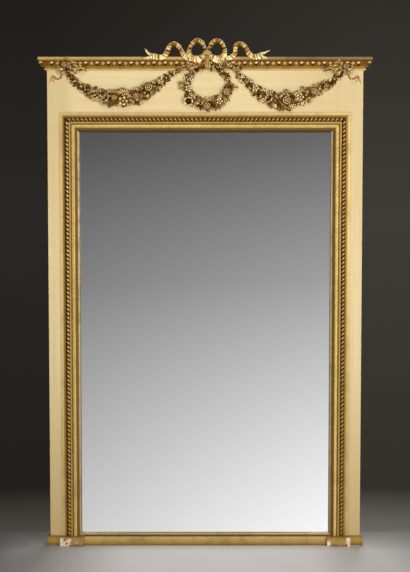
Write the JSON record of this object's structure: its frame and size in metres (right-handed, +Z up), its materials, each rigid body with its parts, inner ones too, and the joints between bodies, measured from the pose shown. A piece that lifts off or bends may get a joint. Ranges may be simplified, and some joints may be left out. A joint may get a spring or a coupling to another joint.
{
  "type": "overmantel mirror",
  "caption": "Tall rectangular mirror in a cream painted casing with a gilded cornice, ribbon bow crest, flower wreath and swags, rope sight moulding and low base.",
  "frame": {"origin": "middle of the underside's back edge, where the shelf meets the wall", "axes": "+X to the right seen from the front, +Y into the wall, so the front faces -Y, +Z up"},
  "size_m": [1.294, 0.092, 1.992],
  "materials": {
    "painted_wood": "old cream paint, eggshell",
    "bare_pine": "bare, darkened with age",
    "gilded_wood": "worn gilding over gesso",
    "gilded_composition": "cast composition, gilded and toned dark in the hollows",
    "steel": "dull",
    "mirror": "silvered plate glass"
  },
  "bodies": {
    "root": {"backboard_1": "bare_pine", "backboard_2": "bare_pine", "backboard_3": "bare_pine", "backboard_4": "bare_pine", "backboard_5": "bare_pine", "backboard_6": "bare_pine", "backboard_screws": "steel", "base_block_left": "gilded_wood", "base_block_right": "gilded_wood", "base_rail": "gilded_wood", "bottom_rail": "bare_pine", "bow_knot": "gilded_composition", "bow_loop_left": "gilded_composition", "bow_loop_right": "gilded_composition", "corner_ribbon_left": "gilded_composition", "corner_ribbon_right": "gilded_composition", "corner_spray_left": "gilded_composition", "corner_spray_right": "gilded_composition", "cornice_front": "gilded_wood", "cornice_left_return": "gilded_wood", "cornice_right_return": "gilded_wood", "cornice_top_board": "gilded_wood", "egg_band_front": "gilded_composition", "egg_band_left": "gilded_composition", "egg_band_right": "gilded_composition", "frieze_rail": "painted_wood", "glazing_blocks": "bare_pine", "hanging_plate_left": "steel", "hanging_plate_right": "steel", "hanging_plate_screws": "steel", "joint_pegs": "bare_pine", "left_stile": "painted_wood", "mirror_glass": "mirror", "plinth_block_left": "gilded_wood", "plinth_block_right": "gilded_wood", "ribbon_tail_left": "gilded_composition", "ribbon_tail_right": "gilded_composition", "right_stile": "painted_wood", "rope_left": "gilded_composition", "rope_right": "gilded_composition", "rope_top": "gilded_composition", "setting_blocks": "bare_pine", "sight_moulding_left": "gilded_wood", "sight_moulding_right": "gilded_wood", "sight_moulding_top": "gilded_wood", "sight_slip_bottom": "gilded_wood", "sight_slip_left": "gilded_wood", "sight_slip_right": "gilded_wood", "sight_slip_top": "gilded_wood", "swag_left": "gilded_composition", "swag_right": "gilded_composition", "top_board_screws": "steel", "wreath": "gilded_composition"}
  },
  "joints": []
}
